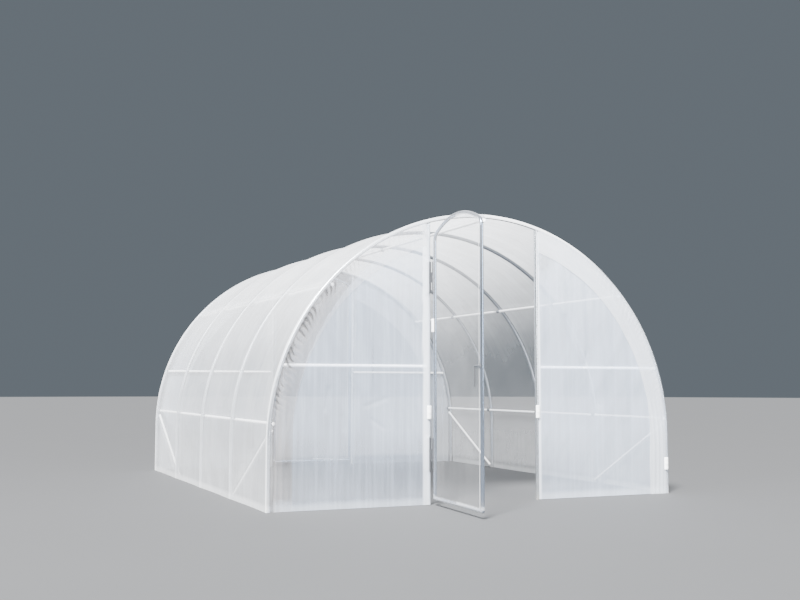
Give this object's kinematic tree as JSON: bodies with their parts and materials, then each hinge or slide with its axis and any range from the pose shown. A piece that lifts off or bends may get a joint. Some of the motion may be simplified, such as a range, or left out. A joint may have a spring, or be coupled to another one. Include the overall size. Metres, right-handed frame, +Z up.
{
  "type": "polytunnel greenhouse",
  "caption": "Walk-in polytunnel greenhouse with an arched steel tube frame, a clear film cover and an arched door in each end wall.",
  "frame": {"origin": "on the ground at the middle of the tunnel's footprint, between the two end hoops and the two sides", "axes": "+X across the tunnel to the right seen from the front end, +Y along the tunnel to the rear end, +Z up"},
  "size_m": [3, 4.3109, 1.92],
  "materials": {
    "galvanised_steel": "satin",
    "clear_film": "satin",
    "hem_film": "satin",
    "white_plastic": "satin",
    "zinc_plate": "satin"
  },
  "bodies": {
    "tunnel": {"fourth_hoop": "galvanised_steel", "front_hem_bands": "hem_film", "front_hoop": "galvanised_steel", "front_left_bar": "galvanised_steel", "front_left_brace": "galvanised_steel", "front_left_film": "clear_film", "front_left_post": "galvanised_steel", "front_post_hinges": "zinc_plate", "front_right_bar": "galvanised_steel", "front_right_brace": "galvanised_steel", "front_right_film": "clear_film", "front_right_post": "galvanised_steel", "left_cover_wall": "clear_film", "left_low_purlin": "galvanised_steel", "left_lower_cover": "clear_film", "left_upper_cover": "clear_film", "left_upper_purlin": "galvanised_steel", "middle_hoop": "galvanised_steel", "purlin_clamps": "galvanised_steel", "rear_hem_bands": "hem_film", "rear_hoop": "galvanised_steel", "rear_left_bar": "galvanised_steel", "rear_left_brace": "galvanised_steel", "rear_left_film": "clear_film", "rear_left_post": "galvanised_steel", "rear_post_hinges": "zinc_plate", "rear_right_bar": "galvanised_steel", "rear_right_brace": "galvanised_steel", "rear_right_film": "clear_film", "rear_right_post": "galvanised_steel", "ridge_purlin": "galvanised_steel", "right_cover_wall": "clear_film", "right_low_purlin": "galvanised_steel", "right_lower_cover": "clear_film", "right_upper_cover": "clear_film", "right_upper_purlin": "galvanised_steel", "second_hoop": "galvanised_steel", "wall_clips": "white_plastic"},
    "front_door": {"front_door_frame": "galvanised_steel", "front_door_film": "clear_film", "front_door_latch": "zinc_plate", "front_door_hinges": "zinc_plate", "front_door_clip": "white_plastic"},
    "rear_door": {"rear_door_frame": "galvanised_steel", "rear_door_film": "clear_film", "rear_door_latch": "zinc_plate", "rear_door_hinges": "zinc_plate", "rear_door_clip": "white_plastic"}
  },
  "joints": [
    {"name": "front_door_hinge", "type": "hinge", "parent": "tunnel", "child": "front_door", "pos_m": [-0.405, -1.756, 0], "axis": [0, 0, 1], "range_deg": [-55.5, 94.5]},
    {"name": "rear_door_hinge", "type": "hinge", "parent": "tunnel", "child": "rear_door", "pos_m": [-0.405, 1.756, 0], "axis": [0, 0, 1], "range_deg": [0, 150]}
  ]
}
